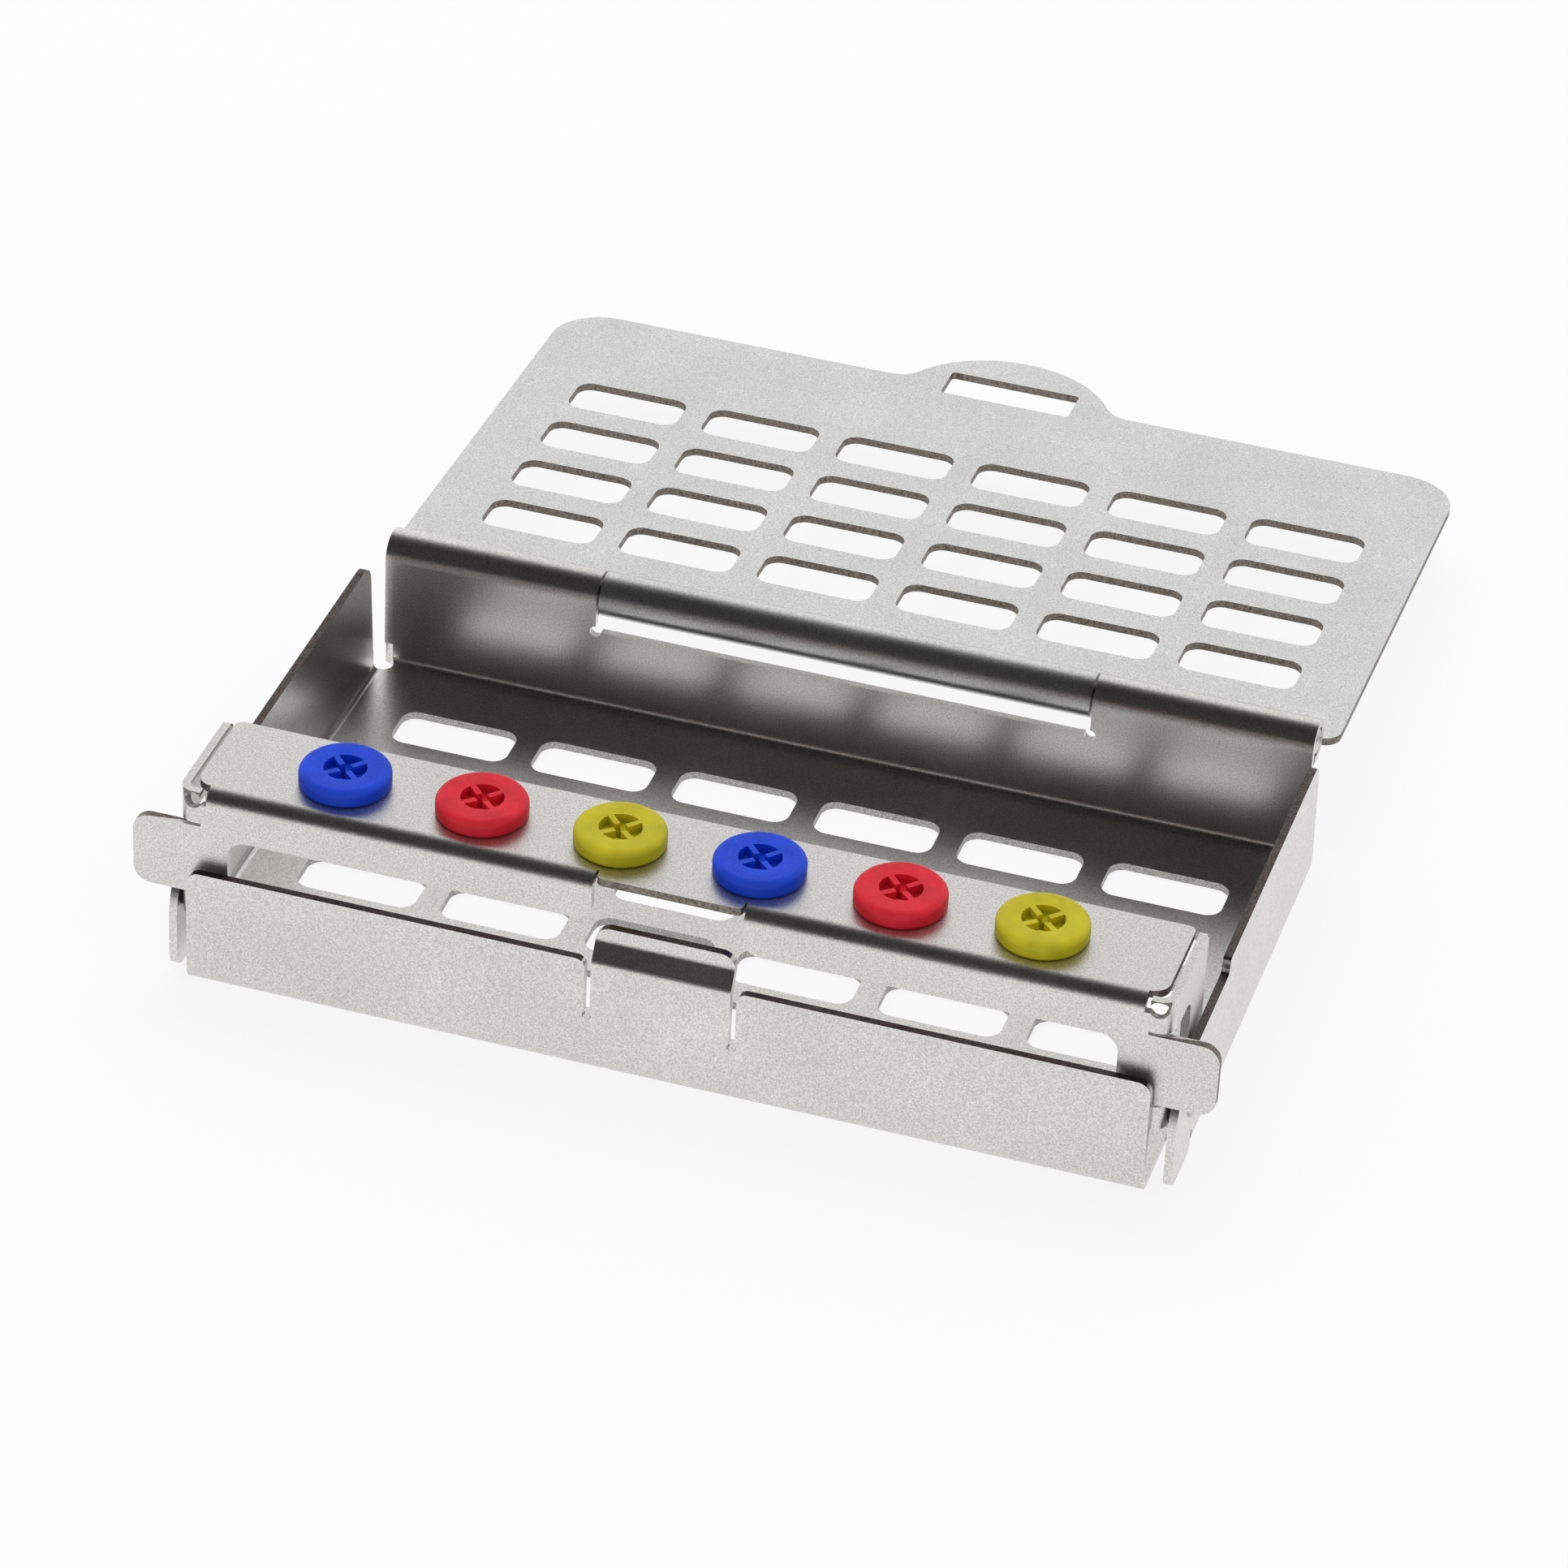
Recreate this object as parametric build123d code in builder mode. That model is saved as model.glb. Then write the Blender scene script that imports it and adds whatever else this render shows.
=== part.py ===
from build123d import *
import math
import os

os.makedirs("parts", exist_ok=True)

# Sheet stock: every steel piece but the pins is one blank, cut and bent
sheet = 0.6
bend_inside = 0.5
bend_outside = bend_inside + sheet

# Running and seating clearances
pin_clearance = 0.07
knuckle_gap = 0.2
side_gap = 0.2
seat_gap = 0.15
neck_clearance = 0.05

# Tray box. Depths are measured back from the face of the front wall, heights from the
# underside of the floor, and the origin lies on that underside in the middle of the tray.
tray_width = 73.8
tray_depth = 43.2
side_wall_height = 10.5
seat_height = 9.35
seat_depth = 14.6
side_wall_rear_top = 40.5
side_wall_rear_foot = 41.25
side_wall_corner = 1.5
riser_corner = 0.45
nose_front = 1.1
nose_corner = 1.1
nose_relief_y = 6.3
nose_relief_width = 0.5
front_wall_half = 35.15
front_wall_height = 9.5
front_wall_corner = 1.0
rear_wall_half = 35.9
corner_relief_diameter = 1.5

# Latch tongue, cut free of the front wall by two slits and set back by an offset bend
tongue_half = 5.08
slit_width = 0.45
slit_foot = 4.8
slit_end_diameter = 0.7
slit_mouth_corner = 0.75
tongue_setback = 0.9
tongue_bend_height = 9.3
tongue_offset_height = 10.9
tongue_height = 11.9
tongue_bend_radius = 1.0
tongue_corner = 1.1

# Drain windows shared by floor and lid
window_columns = 6
window_pitch_x = 11.0
floor_window_rows = 5
floor_window_pitch = 6.6
floor_window_first = 8.4
floor_window_length = 9.1
floor_window_width = 4.2
lid_window_rows = 4
lid_window_pitch = 6.81
lid_window_first = 10.3
lid_window_length = 9.0
lid_window_width = 4.3
window_corner = 1.2

# Curled hinge
pin_diameter = 2.05
pin_end_chamfer = 0.2
bore_radius = pin_diameter / 2 + pin_clearance
knuckle_radius = bore_radius + sheet
curl_turn = 304
lid_knuckle_half = 19.0
hinge_z = 9.6
hinge_y = tray_depth + bore_radius
knuckle_cutout_z = 7.15
cutout_relief_diameter = 0.9

# Lid, drawn open as in the photograph
lid_open_slope = 3.42
lid_half = 36.85
lid_near_edge = 2.4
lid_near_corner = 1.4
lid_length = 44.1
lid_far_corner = 4.3
handle_radius = 8.9
handle_reach = 49.9
handle_fillet = 2.4
latch_slot_half = 5.25
latch_slot_near = 42.65
latch_slot_far = 46.3
latch_slot_corner = 0.3

# Fold-down plug bar
bar_face = 1.0
bar_top = 15.8
bar_rear = 10.3
bar_plate_half = 35.2
bar_flange_foot = 12.2
bar_front_corner = 1.2
bar_rear_corner = 0.6
end_flange_rear = 10.2
end_flange_rear_foot = 8.6
end_flange_corner = 0.6
arm_corner = 1.0
end_relief_x = 35.0
end_relief_radius = 0.75
web_inner = 32.4
web_foot = 5.0
web_corner = 1.4
notch_half = 5.5
notch_corner = 1.3
lip_half = 5.3
lip_front = 1.15
lip_corner = 0.5
ear_reach = 39.5
ear_foot = 7.15
ear_top = 12.9
ear_corner = 1.3
ear_root = 34.4
ear_slit = 0.25
ear_window_rear = 6.2

# Pivot of the plug bar
pivot_y = 6.25
pivot_z = 4.85
pivot_diameter = 2.0
pivot_clearance = 0.05
rivet_head_diameter = 3.4
rivet_head_height = 0.55
rivet_rim_height = 0.15
rivet_tail_diameter = 3.0
rivet_tail_height = 0.5
pivot_eye_radius = 2.7

# Silicone plugs
plug_count = 6
plug_pitch = 10.16
plug_y = 5.8
plug_head_diameter = 6.6
plug_head_height = 1.35
plug_head_round = 0.5
plug_dish_depth = 0.12
plug_dish_diameter = 4.4
plug_neck_diameter = 3.4
plug_collar_diameter = 4.3
plug_collar_height = 1.9
plug_collar_chamfer = 0.5
plug_recess_diameter = 3.1
plug_recess_depth = 0.75
plug_web_width = 0.42
plug_web_hub = 0.95
plug_bore_diameter = 0.9
plug_colours = ("blue", "red", "yellow")

# Planes and lengths that follow from the sizes above
side_wall_outer = tray_width / 2
side_wall_inner = side_wall_outer - sheet
end_flange_outer = side_wall_inner - side_gap
end_flange_inner = end_flange_outer - sheet
front_y = -tray_depth / 2
side_view = Plane((0, front_y, 0), x_dir=(0, 1, 0), z_dir=(1, 0, 0))
hinge_section = Plane((0, front_y + hinge_y, hinge_z), x_dir=(0, 1, 0), z_dir=(1, 0, 0))
lid_plane = Plane(hinge_section.origin).rotated((-lid_open_slope, 0, 0))


def at_y(depth):
    """Upright plane facing the front, at a depth behind the front wall's face."""
    return Plane.XZ.offset(-front_y - depth)


def at_z(height):
    """Level plane at a height, its origin above the front wall's face."""
    return Plane((0, front_y, height))


def bent_section(plane, corners, radius):
    """Section of a bent strip whose outer face runs through the corners, metal on the left."""
    with BuildSketch(plane) as section:
        with BuildLine():
            FilletPolyline(*corners, radius=radius)
            offset(amount=sheet, side=Side.LEFT)
        make_face()
    return section.sketch


def curl_section(plane, start):
    """Section of a knuckle: a band rolled round the origin of the plane, from the start angle."""
    with BuildSketch(plane) as section:
        with BuildLine():
            rim = CenterArc((0, 0), knuckle_radius, start, -curl_turn)
            bore = CenterArc((0, 0), bore_radius, start, -curl_turn)
            Line(rim @ 0, bore @ 0)
            Line(rim @ 1, bore @ 1)
        make_face()
    return section.sketch


# Tray: floor, front wall with latch tongue, side walls and rear wall with two curled knuckles.
# The right half is drawn and mirrored.
wall_top_corner = (tray_depth, hinge_z)
tongue_edge = tongue_half + slit_width
slit_centre = tongue_half + slit_width / 2
nose_round = pivot_y - nose_front - seat_gap

with BuildPart() as base_tray:
    # Front wall and the strip of floor before the side walls begin
    front_path = ((0, front_wall_height), (0, 0), (nose_relief_y, 0))
    extrude(bent_section(side_view, front_path, bend_outside), amount=front_wall_half)
    with BuildSketch(at_y(0)):
        with Locations((front_wall_half, front_wall_height)):
            Rectangle(front_wall_corner, front_wall_corner, align=(Align.MAX, Align.MAX))
        with Locations((front_wall_half - front_wall_corner, front_wall_height - front_wall_corner)):
            Circle(front_wall_corner, mode=Mode.SUBTRACT)
    extrude(amount=-bend_outside, mode=Mode.SUBTRACT)

    # Floor between the side walls, with the bend that turns up each side wall
    floor_path = ((0, 0), (side_wall_outer, 0), (side_wall_outer, 2 * bend_outside))
    floor_start = nose_relief_y + nose_relief_width / 2
    extrude(
        bent_section(at_y(floor_start), floor_path, bend_outside),
        amount=-(side_wall_rear_foot - floor_start),
    )
    with BuildSketch(at_z(0)):
        with Locations((0, nose_relief_y - nose_relief_width)):
            Rectangle(front_wall_half, 2 * nose_relief_width, align=(Align.MIN, Align.MIN))
    extrude(amount=sheet)

    # Rear wall and the knuckle curled from its top edge
    rear_path = ((side_wall_rear_foot, 0), (tray_depth, 0), wall_top_corner)
    extrude(bent_section(side_view, rear_path, bend_outside), amount=rear_wall_half)
    knuckle_start = lid_knuckle_half + knuckle_gap
    knuckle = curl_section(hinge_section.offset(knuckle_start), 180)
    extrude(knuckle, amount=rear_wall_half - knuckle_start)

    # Room for the lid's knuckle, ending in small relief notches
    with BuildSketch(at_y(tray_depth - bend_outside)):
        with Locations((0, knuckle_cutout_z)):
            Rectangle(knuckle_start, hinge_z, align=(Align.MIN, Align.MIN))
        with Locations((knuckle_start, knuckle_cutout_z)):
            Circle(cutout_relief_diameter / 2)
    extrude(amount=-2 * bend_outside, mode=Mode.SUBTRACT)

    # Side wall: a flat blank with the seat for the ear, and a free nose ahead of the floor bend
    with BuildSketch(side_view.offset(side_wall_inner)):
        with BuildLine():
            FilletPolyline(
                (nose_front, 0),
                (nose_front, seat_height),
                (seat_depth, seat_height),
                (seat_depth, side_wall_height),
                (side_wall_rear_top, side_wall_height),
                (side_wall_rear_foot, bend_outside),
                (floor_start, bend_outside),
                (floor_start, 0),
                radius=(nose_corner, nose_round, riser_corner, riser_corner, side_wall_corner, 0, 0, 0),
                close=True,
            )
        make_face()
    extrude(amount=sheet)

    # Relief slit that frees the nose from the floor bend
    with BuildSketch(side_view.offset(front_wall_half)):
        with Locations((nose_relief_y, 0)):
            SlotCenterToCenter(2 * bend_outside + sheet, nose_relief_width, rotation=90)
    extrude(amount=side_wall_outer - front_wall_half, mode=Mode.SUBTRACT)

    # Round relief at each rear corner of the floor
    with BuildSketch(at_z(0)):
        with Locations((side_wall_outer - bend_outside, tray_depth - bend_outside)):
            Circle(corner_relief_diameter / 2)
    extrude(amount=2 * bend_outside, mode=Mode.SUBTRACT)

    # Slit beside the latch tongue, with a round end and eased mouth
    with BuildSketch(at_y(0)):
        with Locations((slit_centre, slit_foot)):
            Rectangle(slit_width, front_wall_height, align=(Align.CENTER, Align.MIN))
            Circle(slit_end_diameter / 2)
        with Locations((tongue_edge, front_wall_height)):
            Rectangle(slit_mouth_corner, slit_mouth_corner, align=(Align.MIN, Align.MAX))
        with Locations((tongue_edge + slit_mouth_corner, front_wall_height - slit_mouth_corner)):
            Circle(slit_mouth_corner, mode=Mode.SUBTRACT)
        with Locations((0, tongue_bend_height - bend_inside)):
            Rectangle(tongue_edge, front_wall_height, align=(Align.MIN, Align.MIN))
    extrude(amount=-bend_outside, mode=Mode.SUBTRACT)

    # Upper end of the tongue, offset inwards
    tongue_path = (
        (tongue_setback, tongue_height),
        (tongue_setback, tongue_offset_height),
        (0, tongue_bend_height),
        (0, tongue_bend_height - bend_inside),
    )
    extrude(bent_section(side_view, tongue_path, tongue_bend_radius), amount=tongue_half)
    with BuildSketch(at_y(0)):
        with Locations((tongue_half, tongue_height)):
            Rectangle(tongue_corner, tongue_corner, align=(Align.MAX, Align.MAX))
        with Locations((tongue_half - tongue_corner, tongue_height - tongue_corner)):
            Circle(tongue_corner, mode=Mode.SUBTRACT)
    extrude(amount=-2 * bend_outside, mode=Mode.SUBTRACT)

    # Bore in the side wall for the pivot rivet
    with Locations(Plane((side_wall_outer, front_y + pivot_y, pivot_z), z_dir=(1, 0, 0))):
        Hole(pivot_diameter / 2, depth=bend_outside)

    mirror(about=Plane.YZ)

    # Drain windows in the floor
    with BuildSketch(at_z(0)):
        with Locations((0, floor_window_first + floor_window_pitch * (floor_window_rows - 1) / 2)):
            with GridLocations(window_pitch_x, floor_window_pitch, window_columns, floor_window_rows):
                RectangleRounded(floor_window_length, floor_window_width, window_corner)
    extrude(amount=sheet, mode=Mode.SUBTRACT)

base_tray.part.label = "base_tray"
export_step(base_tray.part, "parts/base_tray.step")


# Lid: one blank with drain windows and a handle, its knuckle curled from the near edge.
# It is drawn on its open plane, which slopes down behind the hinge.
with BuildPart() as lid:
    with BuildSketch(lid_plane.offset(-knuckle_radius)) as lid_blank:
        with Locations((0, lid_near_edge)):
            Rectangle(2 * lid_half, lid_length - lid_near_edge, align=(Align.CENTER, Align.MIN))
        fillet(lid_blank.vertices().sort_by(lid_plane.location.y_axis)[-2:], lid_far_corner)
        fillet(lid_blank.vertices().sort_by(lid_plane.location.y_axis)[:2], lid_near_corner)
        with Locations((0, handle_reach - handle_radius)):
            Circle(handle_radius)
        Rectangle(2 * lid_knuckle_half, lid_near_edge, align=(Align.CENTER, Align.MIN))
        roots = lid_blank.vertices().filter_by_position(Axis.X, -handle_radius, handle_radius)
        fillet(roots, handle_fillet)
        with Locations((0, (latch_slot_near + latch_slot_far) / 2)):
            RectangleRounded(
                2 * latch_slot_half,
                latch_slot_far - latch_slot_near,
                latch_slot_corner,
                mode=Mode.SUBTRACT,
            )
        with Locations((0, lid_window_first + lid_window_pitch * (lid_window_rows - 1) / 2)):
            with GridLocations(window_pitch_x, lid_window_pitch, window_columns, lid_window_rows):
                RectangleRounded(
                    lid_window_length, lid_window_width, window_corner, mode=Mode.SUBTRACT
                )
    extrude(amount=sheet)
    lid_knuckle_plane = Plane(lid_plane.origin, x_dir=lid_plane.y_dir, z_dir=lid_plane.x_dir)
    extrude(curl_section(lid_knuckle_plane, -90), amount=lid_knuckle_half, both=True)

lid.part.label = "lid"
export_step(lid.part, "parts/lid.step")


# Hinge pin, flush with the outer ends of the tray's knuckles
with BuildPart() as hinge_pin:
    with BuildSketch(hinge_section.offset(-rear_wall_half)):
        Circle(pin_diameter / 2)
    extrude(amount=2 * rear_wall_half)
    chamfer(hinge_pin.edges(), pin_end_chamfer)

hinge_pin.part.label = "hinge_pin"
export_step(hinge_pin.part, "parts/hinge_pin.step")


# Plug bar: a top plate, a front flange and two end flanges turned back inside the side walls.
# An ear is left unbent at each end of the flange. The right half is drawn and mirrored.
flange_bend = bar_face + bend_outside
flange_top = bar_top - bend_outside
end_bend = end_flange_outer - bend_outside

with BuildPart() as plug_bar:
    # Front flange: notch for the latch tongue, web at the end, and the ear between two slits
    with BuildSketch(at_y(bar_face)):
        with BuildLine():
            FilletPolyline(
                (notch_half, flange_top),
                (notch_half, bar_flange_foot),
                (web_inner, bar_flange_foot),
                (web_inner, web_foot),
                (end_bend, web_foot),
                (end_bend, ear_foot - ear_slit),
                (ear_root, ear_foot - ear_slit),
                (ear_root, ear_foot),
                (ear_reach, ear_foot),
                (ear_reach, ear_top),
                (ear_root, ear_top),
                (ear_root, ear_top + ear_slit),
                (end_bend, ear_top + ear_slit),
                (end_bend, flange_top),
                radius=(
                    0, notch_corner, web_corner, 0, 0, 0, 0,
                    0, ear_corner, ear_corner, 0, 0, 0, 0,
                ),
                close=True,
            )
        make_face()
    extrude(amount=-sheet)

    # Upright bends below and above the ear
    end_path = (
        (ear_root, bar_face),
        (end_flange_outer, bar_face),
        (end_flange_outer, flange_bend + sheet),
    )
    for foot, head in ((web_foot, ear_foot - ear_slit), (ear_top + ear_slit, bar_top)):
        extrude(bent_section(at_z(foot), end_path, bend_outside), amount=head - foot)

    # End flange: a tapered arm down to the pivot eye, with the window the ear was cut from
    with BuildSketch(side_view.offset(end_flange_inner)):
        with BuildLine():
            FilletPolyline(
                (flange_bend, web_foot),
                (flange_bend, bar_top),
                (end_flange_rear, bar_top),
                (end_flange_rear, end_flange_rear_foot),
                (pivot_y + pivot_eye_radius, pivot_z),
                (pivot_y, pivot_z - pivot_eye_radius),
                radius=(0, 0, end_flange_corner, arm_corner, 0, 0),
                close=True,
            )
        make_face()
        with Locations((pivot_y, pivot_z)):
            Circle(pivot_eye_radius)
        with BuildLine():
            FilletPolyline(
                (bar_face, ear_foot),
                (ear_window_rear, ear_foot),
                (ear_window_rear, ear_top),
                (bar_face, ear_top),
                radius=(0, ear_corner, ear_corner, 0),
                close=True,
            )
        make_face(mode=Mode.SUBTRACT)
        with Locations((pivot_y, pivot_z)):
            Circle(pivot_diameter / 2 + pivot_clearance, mode=Mode.SUBTRACT)
    extrude(amount=sheet)

    # Top plate with the lip between the two halves of the flange
    with BuildSketch(at_z(bar_top - sheet)):
        with BuildLine():
            FilletPolyline(
                (0, lip_front),
                (lip_half, lip_front),
                (lip_half, flange_bend),
                (bar_plate_half, flange_bend),
                (bar_plate_half, bar_rear),
                (0, bar_rear),
                radius=(0, lip_corner, 0, bar_front_corner, bar_rear_corner, 0),
                close=True,
            )
        make_face()
    extrude(amount=sheet)

    # Bend from the top plate down to the flange
    top_path = (
        (flange_bend + sheet, bar_top),
        (bar_face, bar_top),
        (bar_face, flange_top - sheet),
    )
    top_bend = bent_section(side_view.offset(notch_half), top_path, bend_outside)
    extrude(top_bend, amount=bar_plate_half - bar_front_corner - notch_half)

    # Round relief where the three bends would meet
    relief_y = front_y + flange_bend - end_relief_radius
    with Locations((end_relief_x, relief_y, bar_top - end_relief_radius)):
        Sphere(end_relief_radius, mode=Mode.SUBTRACT)

    mirror(about=Plane.YZ)

    # Holes for the plugs
    with BuildSketch(at_z(bar_top)):
        with Locations((0, plug_y)):
            with GridLocations(plug_pitch, 0, plug_count, 1):
                Circle(plug_neck_diameter / 2 + neck_clearance)
    extrude(amount=-sheet, mode=Mode.SUBTRACT)

plug_bar.part.label = "plug_bar"
export_step(plug_bar.part, "parts/plug_bar.step")


# Pivot rivets: a domed head outside the side wall, a flat tail inside the end flange
for side, rivet_name in ((1, "pivot_rivet_right"), (-1, "pivot_rivet_left")):
    rivet_axis = Axis((0, front_y + pivot_y, pivot_z), (1, 0, 0))
    rivet_plane = Plane(rivet_axis.position, x_dir=(side, 0, 0), z_dir=(0, 0, side))
    tail_face = end_flange_inner - pivot_clearance
    dome_height = rivet_head_height - rivet_rim_height
    dome_radius = (rivet_head_diameter**2 / 4 + dome_height**2) / (2 * dome_height)
    with BuildPart() as rivet:
        with BuildSketch(rivet_plane):
            with BuildLine():
                rivet_side = Polyline(
                    (side_wall_outer + rivet_head_height, 0),
                    (tail_face - rivet_tail_height, 0),
                    (tail_face - rivet_tail_height, rivet_tail_diameter / 2),
                    (tail_face, rivet_tail_diameter / 2),
                    (tail_face, pivot_diameter / 2),
                    (side_wall_outer, pivot_diameter / 2),
                    (side_wall_outer, rivet_head_diameter / 2),
                    (side_wall_outer + rivet_rim_height, rivet_head_diameter / 2),
                )
                RadiusArc(rivet_side @ 1, rivet_side @ 0, dome_radius)
            make_face()
        revolve(axis=rivet_axis)
    rivet.part.label = rivet_name
    export_step(rivet.part, f"parts/{rivet_name}.step")


# Plugs: a silicone button with a four-lobed grip recess, snapped through the top plate
plug_first_x = -plug_pitch * (plug_count - 1) / 2
lobe_count = 4

for plug_index in range(plug_count):
    colour = plug_colours[plug_index % len(plug_colours)]
    plug_name = f"plug_{plug_index + 1}_{colour}"
    plug_x = plug_first_x + plug_index * plug_pitch
    plug_axis = Axis((plug_x, front_y + plug_y, 0), (0, 0, 1))
    plug_plane = Plane(plug_axis.position, x_dir=(1, 0, 0), z_dir=(0, -1, 0))
    head_top = bar_top + plug_head_height
    collar_top = bar_top - sheet
    collar_foot = collar_top - plug_collar_height
    with BuildPart() as plug:
        with BuildSketch(plug_plane) as plug_half:
            with BuildLine():
                FilletPolyline(
                    (0, head_top - plug_dish_depth),
                    (0, collar_foot),
                    (plug_collar_diameter / 2 - plug_collar_chamfer, collar_foot),
                    (plug_collar_diameter / 2, collar_foot + plug_collar_chamfer),
                    (plug_collar_diameter / 2, collar_top),
                    (plug_neck_diameter / 2, collar_top),
                    (plug_neck_diameter / 2, bar_top),
                    (plug_head_diameter / 2, bar_top),
                    (plug_head_diameter / 2, head_top),
                    (plug_dish_diameter / 2, head_top),
                    radius=(0, 0, 0, 0, 0, 0, 0, plug_head_round / 2, plug_head_round, 0),
                    close=True,
                )
            make_face()
        revolve(axis=plug_axis)

        # Grip recess: a round pocket crossed by four webs that stop short of the bore
        with BuildSketch(Plane((plug_x, front_y + plug_y, head_top))):
            Circle(plug_recess_diameter / 2)
            with PolarLocations((plug_web_hub + plug_recess_diameter) / 2, lobe_count, start_angle=45):
                Rectangle(plug_recess_diameter, plug_web_width, mode=Mode.SUBTRACT)
        extrude(amount=-plug_recess_depth, mode=Mode.SUBTRACT)
        with Locations((plug_x, front_y + plug_y, head_top)):
            Hole(plug_bore_diameter / 2)
    plug.part.label = plug_name
    export_step(plug.part, f"parts/{plug_name}.step")
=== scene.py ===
from math import cos, radians, sin

import bmesh
import bpy
from mathutils import Matrix, Vector

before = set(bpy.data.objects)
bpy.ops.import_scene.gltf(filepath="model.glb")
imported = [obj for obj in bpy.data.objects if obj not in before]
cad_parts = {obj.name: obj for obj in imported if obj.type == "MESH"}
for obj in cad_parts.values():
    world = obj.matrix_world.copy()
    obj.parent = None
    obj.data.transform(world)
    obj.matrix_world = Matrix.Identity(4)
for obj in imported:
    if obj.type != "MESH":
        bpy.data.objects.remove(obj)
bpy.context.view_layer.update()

# Tray: one blank of 0.6 mm stainless sheet, bent up into the floor, the walls and the latch
# tongue, with its rear edge curled into the two outer knuckles. The sheet is blasted to an even
# satin grain. Its sheared edges are coarse, with a dark painted shade on the wall tops and a
# lighter grey painted highlight round the floor windows.
TRAY_STEEL = (0.76, 0.742, 0.718)
# Dark painted shade for the cut faces along the wall tops.
WALL_TOP_PAINTED_SHADE = (0.17, 0.14, 0.125)
# Lighter grey painted highlight for the cut faces round the floor windows.
WINDOW_EDGE_PAINTED_LIGHT = (0.5, 0.49, 0.475)
GRAIN_PITCH = 0.00014
COARSE_PITCH = 0.00018
GRAIN_DEPTH = 0.000009
GRAIN_SPREAD = (0.32, 0.68)
DARKEST_GRAIN, BRIGHTEST_GRAIN = 0.72, 1.12
CLOUD_SCALE = 140.0
CLOUD_SPREAD = (0.3, 0.7)
WEAR_RANGE = (0.94, 1.04)
SHEET_MM = 0.6
WALL_TOP_MM = 8.0
KNUCKLE_FRONT_MM = 19.5
WINDOWS_HALF_WIDTH_MM = 34.0
WINDOWS_HALF_DEPTH_MM = 19.0
FACES_UP = 0.8
UPRIGHT = 0.3
RANGE_SOCKETS = ("From Min", "From Max", "To Min", "To Max")


def node(tree, kind, **settings):
    made = tree.nodes.new(kind)
    for key, value in settings.items():
        if key in made.inputs:
            made.inputs[key].default_value = value
        else:
            setattr(made, key, value)
    return made


def link(tree, source, socket, target, name):
    tree.links.new(source.outputs[socket], target.inputs[name])


def span(tree, low, high, to_low, to_high, **settings):
    made = node(tree, "ShaderNodeMapRange", **settings)
    for name, value in zip(RANGE_SOCKETS, (low, high, to_low, to_high)):
        made.inputs[name].default_value = value
    return made


def effect_group(name, inputs, outputs):
    group = bpy.data.node_groups.new(name, "ShaderNodeTree")
    for direction, sockets in (("INPUT", inputs), ("OUTPUT", outputs)):
        for label, kind in sockets:
            group.interface.new_socket(label, in_out=direction, socket_type=f"NodeSocket{kind}")
    return group, group.nodes.new("NodeGroupInput"), group.nodes.new("NodeGroupOutput")


SURFACE = (("Color", "Color"), ("Roughness", "Float"), ("Height", "Float"))

blasted_grain, given, result = effect_group(
    "blasted grain",
    (
        ("Steel", "Color"),
        ("Grain Pitch", "Float"),
        ("Darkest Grain", "Float"),
        ("Roughness", "Float"),
    ),
    SURFACE,
)
place = blasted_grain.nodes.new("ShaderNodeTexCoord")
density = node(blasted_grain, "ShaderNodeMath", operation="DIVIDE")
density.inputs[0].default_value = 1.0
blasted_grain.links.new(given.outputs["Grain Pitch"], density.inputs[1])
grain = node(blasted_grain, "ShaderNodeTexNoise", Detail=2.0, Roughness=0.6)
link(blasted_grain, place, "Object", grain, "Vector")
link(blasted_grain, density, "Value", grain, "Scale")
clouds = node(blasted_grain, "ShaderNodeTexNoise", Scale=CLOUD_SCALE, Detail=3.0)
link(blasted_grain, place, "Object", clouds, "Vector")
wear = span(blasted_grain, *CLOUD_SPREAD, *WEAR_RANGE)
link(blasted_grain, clouds, "Fac", wear, "Value")
speckle = span(blasted_grain, *GRAIN_SPREAD, DARKEST_GRAIN, BRIGHTEST_GRAIN)
link(blasted_grain, grain, "Fac", speckle, "Value")
link(blasted_grain, given, "Darkest Grain", speckle, "To Min")
shade = node(blasted_grain, "ShaderNodeMath", operation="MULTIPLY")
blasted_grain.links.new(wear.outputs[0], shade.inputs[0])
blasted_grain.links.new(speckle.outputs[0], shade.inputs[1])
tint = node(blasted_grain, "ShaderNodeVectorMath", operation="SCALE")
blasted_grain.links.new(given.outputs["Steel"], tint.inputs[0])
link(blasted_grain, shade, "Value", tint, "Scale")
link(blasted_grain, tint, "Vector", result, "Color")
gloss = node(blasted_grain, "ShaderNodeMath", operation="MULTIPLY")
blasted_grain.links.new(given.outputs["Roughness"], gloss.inputs[0])
blasted_grain.links.new(wear.outputs[0], gloss.inputs[1])
link(blasted_grain, gloss, "Value", result, "Roughness")
link(blasted_grain, grain, "Fac", result, "Height")


def steel_finish(name, colour, roughness, darkest=DARKEST_GRAIN, pitch=GRAIN_PITCH):
    finish = bpy.data.materials.new(name)
    finish.use_nodes = True
    tree = finish.node_tree
    shader = tree.nodes["Principled BSDF"]
    shader.inputs["Metallic"].default_value = 1.0
    grain = node(tree, "ShaderNodeGroup", node_tree=blasted_grain)
    grain.inputs["Steel"].default_value = (*colour, 1.0)
    grain.inputs["Grain Pitch"].default_value = pitch
    grain.inputs["Darkest Grain"].default_value = darkest
    grain.inputs["Roughness"].default_value = roughness
    relief = node(tree, "ShaderNodeBump", Strength=1.0, Distance=GRAIN_DEPTH)
    link(tree, grain, "Height", relief, "Height")
    link(tree, grain, "Color", shader, "Base Color")
    link(tree, grain, "Roughness", shader, "Roughness")
    link(tree, relief, "Normal", shader, "Normal")
    return finish


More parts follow.
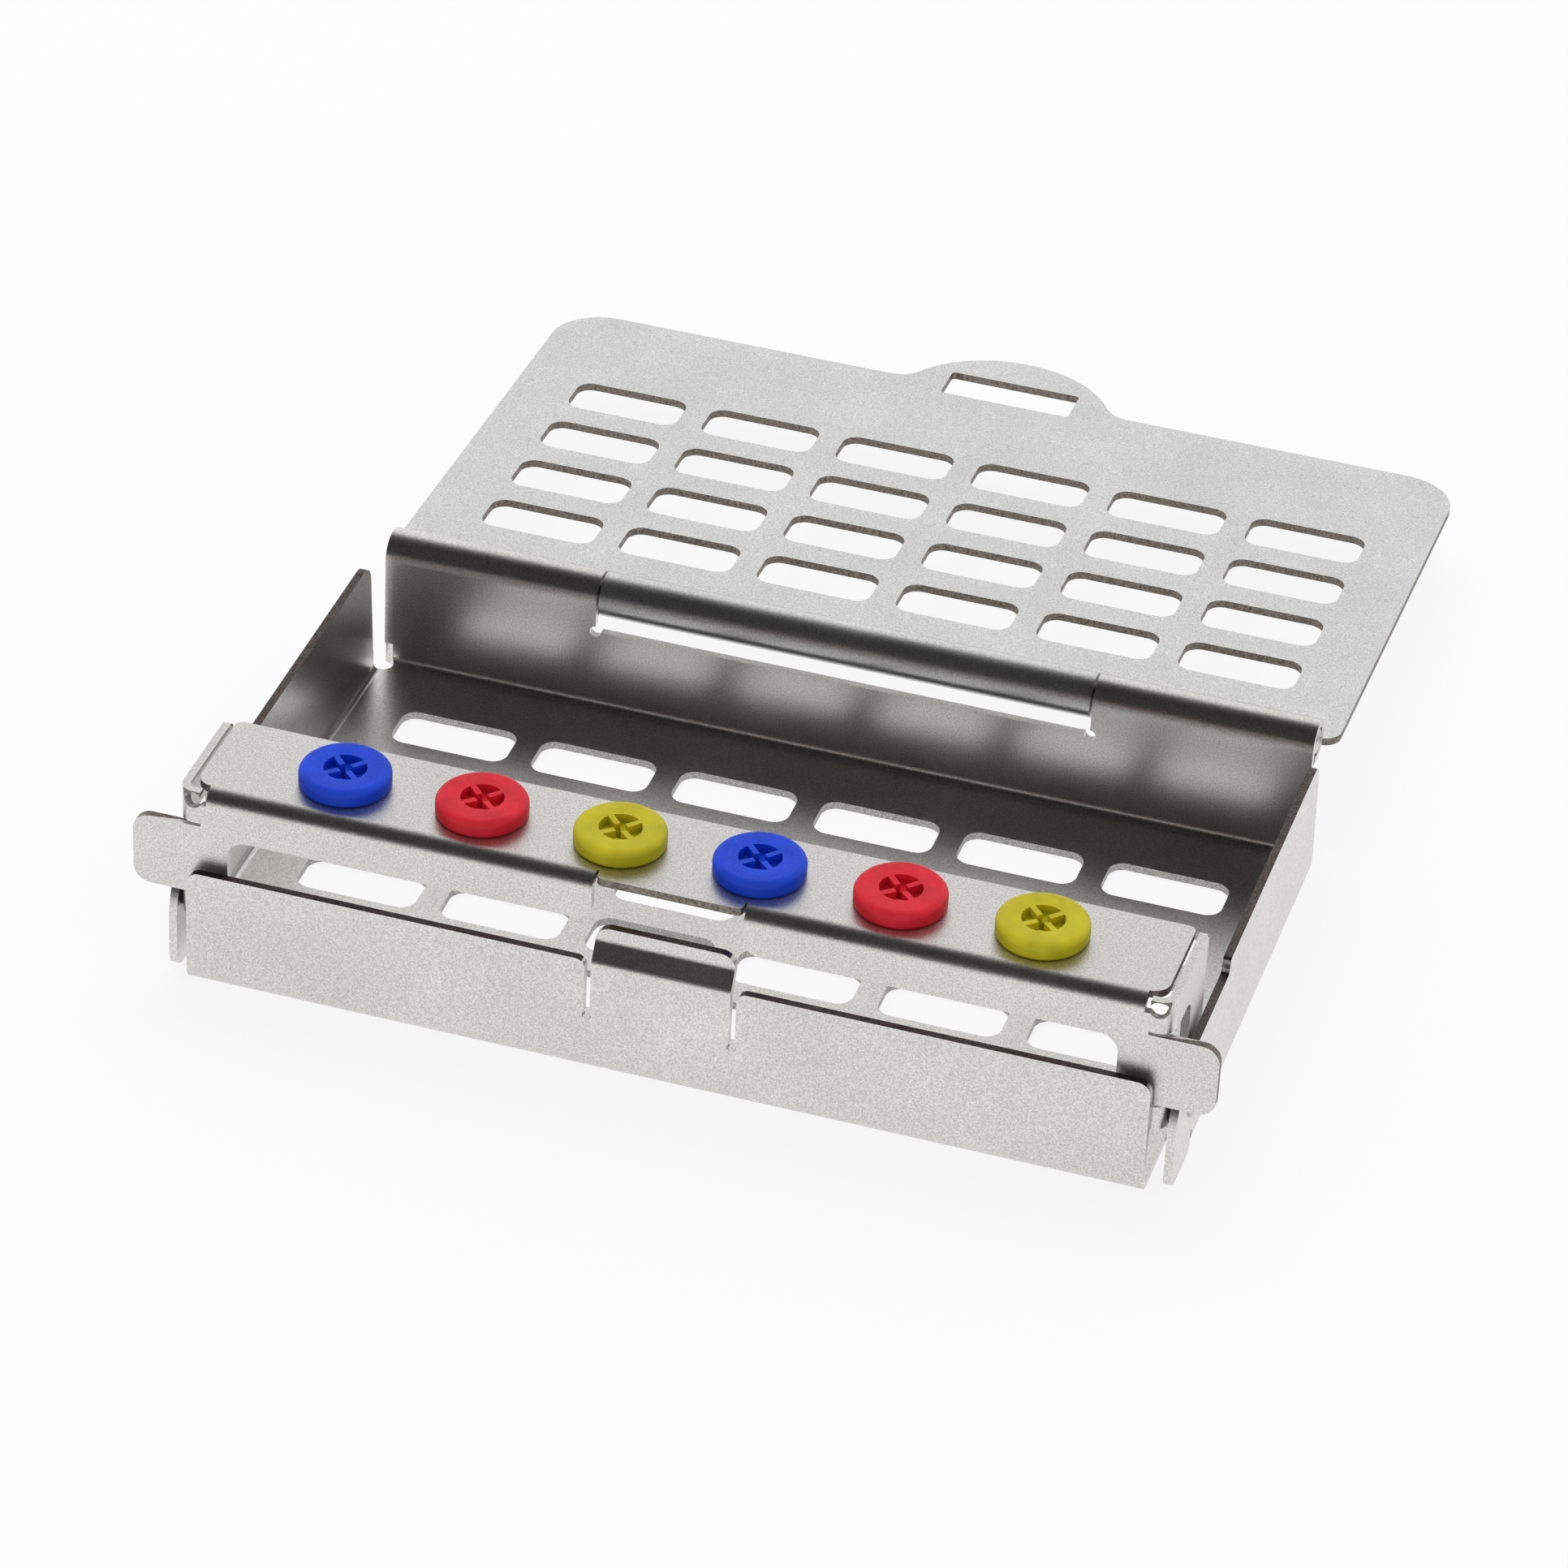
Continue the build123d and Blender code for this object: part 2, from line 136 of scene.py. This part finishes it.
def put_finish(node_name, finish, *sheared):
    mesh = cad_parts[node_name].data
    mesh.materials.clear()
    mesh.materials.append(finish)
    for slot, (edge_finish, is_cut) in enumerate(sheared, 1):
        mesh.materials.append(edge_finish)
        for face in mesh.polygons:
            if is_cut(face.center * 1000, face.normal):
                face.material_index = slot


def is_wall_top(centre, normal):
    ahead_of_knuckles = centre.y < KNUCKLE_FRONT_MM
    return normal.z > FACES_UP and centre.z > WALL_TOP_MM and ahead_of_knuckles


def is_floor_window(centre, normal):
    across = abs(centre.x) < WINDOWS_HALF_WIDTH_MM
    along = abs(centre.y) < WINDOWS_HALF_DEPTH_MM
    return abs(normal.z) < UPRIGHT and centre.z < SHEET_MM and across and along


# Dark painted shade on the wall tops' cut faces.
wall_top_shade_edge = steel_finish("sheared edge", WALL_TOP_PAINTED_SHADE, 0.5, darkest=0.35, pitch=COARSE_PITCH)
# Lighter grey painted highlight on the cut faces round the floor windows.
window_highlight_edge = steel_finish("sheared window edge", WINDOW_EDGE_PAINTED_LIGHT, 0.45, darkest=0.5)
put_finish(
    "base_tray",
    steel_finish("tray blasted steel", TRAY_STEEL, 0.31),
    (wall_top_shade_edge, is_wall_top),
    (window_highlight_edge, is_floor_window),
)

# Lid: one blank of the same sheet with its windows, handle and latch slot punched out, and its
# near edge curled into the middle knuckle. It was blasted with the tray and has the same grain,
# and the punched edges show brown where the light doesn't reach them.
LID_STEEL = (0.755, 0.76, 0.742)
# Brown painted shade for the cut edges of the lid and the plug bar.
CUT_EDGE_PAINTED_SHADE = (0.3, 0.265, 0.235)
BEHIND_KNUCKLE_MM = 25.0


def is_lid_edge(centre, normal):
    return abs(normal.z) < UPRIGHT and centre.y > BEHIND_KNUCKLE_MM


brown_shade_edge = steel_finish("punched edge", CUT_EDGE_PAINTED_SHADE, 0.5, darkest=0.4, pitch=COARSE_PITCH)
put_finish(
    "lid",
    steel_finish("lid blasted steel", LID_STEEL, 0.36),
    (brown_shade_edge, is_lid_edge),
)

# Hinge pin: a length of drawn wire pushed through the three knuckles and cut flush with them,
# so only its two ends show. It is plain drawn steel, smoother than the blasted sheet.
WIRE_STEEL = (0.55, 0.54, 0.53)

put_finish("hinge_pin", steel_finish("drawn pin steel", WIRE_STEEL, 0.25, darkest=0.9))

# Plug bar: one blank of the same sheet, bent into the top plate, the front flange and the two
# end flanges, with the ears left unbent. It turns on the two rivets and holds the six plugs.
BAR_STEEL = (0.77, 0.752, 0.728)
PLATE_UNDERSIDE_MM = 15.2
EAR_ROOT_MM = 36.9
FACES_SIDEWAYS = 0.5


def is_bar_edge(centre, normal):
    plate = centre.z > PLATE_UNDERSIDE_MM and abs(normal.z) < UPRIGHT
    ear = abs(centre.x) > EAR_ROOT_MM and abs(normal.y) < FACES_SIDEWAYS
    return plate or ear


# The cut edges of the plate and the ears get the same brown painted shade as the lid's edges.
put_finish(
    "plug_bar",
    steel_finish("bar blasted steel", BAR_STEEL, 0.37),
    (brown_shade_edge, is_bar_edge),
)

# Pivot rivets: two turned rivets with domed heads, set through the side walls and the end
# flanges. They are the same steel as the pin, and their heads are worn smooth.
for side in ("left", "right"):
    rivet_steel = steel_finish(f"rivet steel {side}", WIRE_STEEL, 0.28, darkest=0.88)
    put_finish(f"pivot_rivet_{side}", rivet_steel)

# Plugs: six buttons of moulded silicone, two each of blue, red and yellow, snapped through the
# top plate. The four-lobed recess grips the shank of a bur. The surface is satin, with the fine
# speckle of the mould.
SILICONE = {
    "blue": (0.001, 0.05, 0.62),
    "red": (0.66, 0.01, 0.026),
    "yellow": (0.52, 0.46, 0.006),
}
SPECKLE_DEPTH = 0.00001
PORE_SCALE = 6500.0
DRIFT_SCALE = 500.0
DRIFT_RANGE = (0.85, 1.1)
SATIN_RANGE = (0.4, 0.62)
SILICONE_IOR = 1.4

moulded_speckle, given, result = effect_group("moulded speckle", (("Silicone", "Color"),), SURFACE)
place = moulded_speckle.nodes.new("ShaderNodeTexCoord")
pores = node(moulded_speckle, "ShaderNodeTexNoise", Scale=PORE_SCALE, Detail=2.0)
link(moulded_speckle, place, "Object", pores, "Vector")
drift = node(moulded_speckle, "ShaderNodeTexNoise", Scale=DRIFT_SCALE, Detail=2.0)
link(moulded_speckle, place, "Object", drift, "Vector")
depth = span(moulded_speckle, *CLOUD_SPREAD, *DRIFT_RANGE)
link(moulded_speckle, drift, "Fac", depth, "Value")
tint = node(moulded_speckle, "ShaderNodeVectorMath", operation="SCALE")
moulded_speckle.links.new(given.outputs["Silicone"], tint.inputs[0])
moulded_speckle.links.new(depth.outputs[0], tint.inputs["Scale"])
link(moulded_speckle, tint, "Vector", result, "Color")
satin = span(moulded_speckle, *CLOUD_SPREAD, *SATIN_RANGE)
link(moulded_speckle, pores, "Fac", satin, "Value")
moulded_speckle.links.new(satin.outputs[0], result.inputs["Roughness"])
link(moulded_speckle, pores, "Fac", result, "Height")


def silicone_finish(name, colour):
    finish = bpy.data.materials.new(name)
    finish.use_nodes = True
    tree = finish.node_tree
    shader = tree.nodes["Principled BSDF"]
    shader.inputs["Subsurface Weight"].default_value = 0.25
    shader.inputs["Subsurface Scale"].default_value = 0.001
    shader.inputs["IOR"].default_value = SILICONE_IOR
    speckle = node(tree, "ShaderNodeGroup", node_tree=moulded_speckle)
    speckle.inputs["Silicone"].default_value = (*colour, 1.0)
    relief = node(tree, "ShaderNodeBump", Strength=1.0, Distance=SPECKLE_DEPTH)
    link(tree, speckle, "Height", relief, "Height")
    link(tree, speckle, "Color", shader, "Base Color")
    link(tree, speckle, "Roughness", shader, "Roughness")
    link(tree, relief, "Normal", shader, "Normal")
    return finish


silicone = {name: silicone_finish(f"{name} silicone", colour) for name, colour in SILICONE.items()}
for number, colour in enumerate(tuple(SILICONE) * 2, 1):
    put_finish(f"plug_{number}_{colour}", silicone[colour])

# Table: a white sweep of paper under and behind the tray. The camera and the steel see it as
# plain white, and it keeps the soft shadow under the tray.
TABLE_HALF = 3.0
PAPER_WHITE = (0.85, 0.85, 0.85, 1)
PAPER_ROUGHNESS = 0.9
PAPER_GLOW_SHARE = 0.85

sweep = bmesh.new()
bmesh.ops.create_grid(sweep, x_segments=1, y_segments=1, size=TABLE_HALF)
table_mesh = bpy.data.meshes.new("table")
sweep.to_mesh(table_mesh)
sweep.free()
table = bpy.data.objects.new("table", table_mesh)
bpy.context.scene.collection.objects.link(table)
paper = bpy.data.materials.new("white paper")
paper.use_nodes = True
tree = paper.node_tree
shader = tree.nodes["Principled BSDF"]
shader.inputs["Base Color"].default_value = PAPER_WHITE
shader.inputs["Roughness"].default_value = PAPER_ROUGHNESS
shader.inputs["Specular IOR Level"].default_value = 0.0
glow = node(tree, "ShaderNodeEmission", Strength=1.0, Color=(1, 1, 1, 1))
blend = tree.nodes.new("ShaderNodeMixShader")
path = tree.nodes.new("ShaderNodeLightPath")
seen = node(tree, "ShaderNodeMath", operation="MAXIMUM")
tree.links.new(path.outputs["Is Camera Ray"], seen.inputs[0])
tree.links.new(path.outputs["Is Glossy Ray"], seen.inputs[1])
share = node(tree, "ShaderNodeMath", operation="MULTIPLY")
tree.links.new(seen.outputs[0], share.inputs[0])
share.inputs[1].default_value = PAPER_GLOW_SHARE
link(tree, share, "Value", blend, "Fac")
tree.links.new(shader.outputs[0], blend.inputs[1])
tree.links.new(glow.outputs[0], blend.inputs[2])
tree.links.new(blend.outputs[0], tree.nodes["Material Output"].inputs["Surface"])
table_mesh.materials.append(paper)

# Studio: a large bright wall behind the table, with the room dark overhead and on the camera's
# side, which gives the steel its dark bands. One soft box above lights the plugs and the paper.
WHITE = (1, 1, 1, 1)
WALL_EDGE = (-0.1, 0.45)
ROOM_DARK, WALL_BRIGHT = 0.02, 1.22
OVERHEAD_EDGE = (0.7, 0.93)
OVERHEAD_DARK = 0.04
ROOM_FILL = 0.75
LAMP_PLACE = Vector((-0.15, 0.25, 0.6))
LAMP_WIDTH, LAMP_DEPTH = 0.5, 0.35
LAMP_WATTS = 1.4

world = bpy.data.worlds.new("studio")
bpy.context.scene.world = world
world.use_nodes = True
tree = world.node_tree
tree.nodes.clear()
out = tree.nodes.new("ShaderNodeOutputWorld")
path = tree.nodes.new("ShaderNodeLightPath")
place = tree.nodes.new("ShaderNodeTexCoord")
parts = tree.nodes.new("ShaderNodeSeparateXYZ")
tree.links.new(place.outputs["Generated"], parts.inputs[0])
back = span(tree, *WALL_EDGE, ROOM_DARK, WALL_BRIGHT, interpolation_type="SMOOTHSTEP")
link(tree, parts, "Y", back, "Value")
overhead = span(tree, *OVERHEAD_EDGE, 1.0, OVERHEAD_DARK, interpolation_type="SMOOTHSTEP")
link(tree, parts, "Z", overhead, "Value")
level = node(tree, "ShaderNodeMath", operation="MULTIPLY")
tree.links.new(back.outputs[0], level.inputs[0])
tree.links.new(overhead.outputs[0], level.inputs[1])
reflected = tree.nodes.new("ShaderNodeBackground")
link(tree, level, "Value", reflected, "Strength")
white = node(tree, "ShaderNodeBackground", Color=WHITE, Strength=1.0)
soft = node(tree, "ShaderNodeBackground", Color=WHITE, Strength=ROOM_FILL)
lit = tree.nodes.new("ShaderNodeMixShader")
link(tree, path, "Is Glossy Ray", lit, "Fac")
tree.links.new(soft.outputs[0], lit.inputs[1])
tree.links.new(reflected.outputs[0], lit.inputs[2])
shown = tree.nodes.new("ShaderNodeMixShader")
link(tree, path, "Is Camera Ray", shown, "Fac")
tree.links.new(lit.outputs[0], shown.inputs[1])
tree.links.new(white.outputs[0], shown.inputs[2])
tree.links.new(shown.outputs[0], out.inputs["Surface"])

lamp_data = bpy.data.lights.new("soft box", "AREA")
lamp_data.shape = "RECTANGLE"
lamp_data.size = LAMP_WIDTH
lamp_data.size_y = LAMP_DEPTH
lamp_data.energy = LAMP_WATTS
lamp = bpy.data.objects.new("soft box", lamp_data)
bpy.context.scene.collection.objects.link(lamp)
lamp.location = LAMP_PLACE
lamp.rotation_mode = "QUATERNION"
lamp.rotation_quaternion = LAMP_PLACE.to_track_quat("Z", "Y")
lamp.visible_glossy = False

# Camera: the photograph's viewpoint, from the right of the front edge and well above it, with a
# long lens and a slight tilt.
CAMERA_PLACE = (0.11305, -0.39027, 0.29344)
AZIMUTH, ELEVATION, ROLL = radians(-15.881), radians(34.727), radians(2.854)
LENS_MM, SENSOR_MM = 159.05, 36.0
NEAREST_SHOWN = 0.01

forward = Vector((sin(AZIMUTH) * cos(ELEVATION), cos(AZIMUTH) * cos(ELEVATION), -sin(ELEVATION)))
right = forward.cross(Vector((0, 0, 1))).normalized()
up = right.cross(forward)
cam_x = cos(ROLL) * right + sin(ROLL) * up
cam_y = -sin(ROLL) * right + cos(ROLL) * up
camera_data = bpy.data.cameras.new("camera")
camera_data.lens = LENS_MM
camera_data.sensor_width = SENSOR_MM
camera_data.clip_start = NEAREST_SHOWN
camera = bpy.data.objects.new("camera", camera_data)
bpy.context.scene.collection.objects.link(camera)
turn = Matrix((cam_x, cam_y, -forward)).transposed()
camera.matrix_world = Matrix.Translation(CAMERA_PLACE) @ turn.to_4x4()
bpy.context.scene.camera = camera

bpy.context.scene.view_settings.view_transform = "Standard"
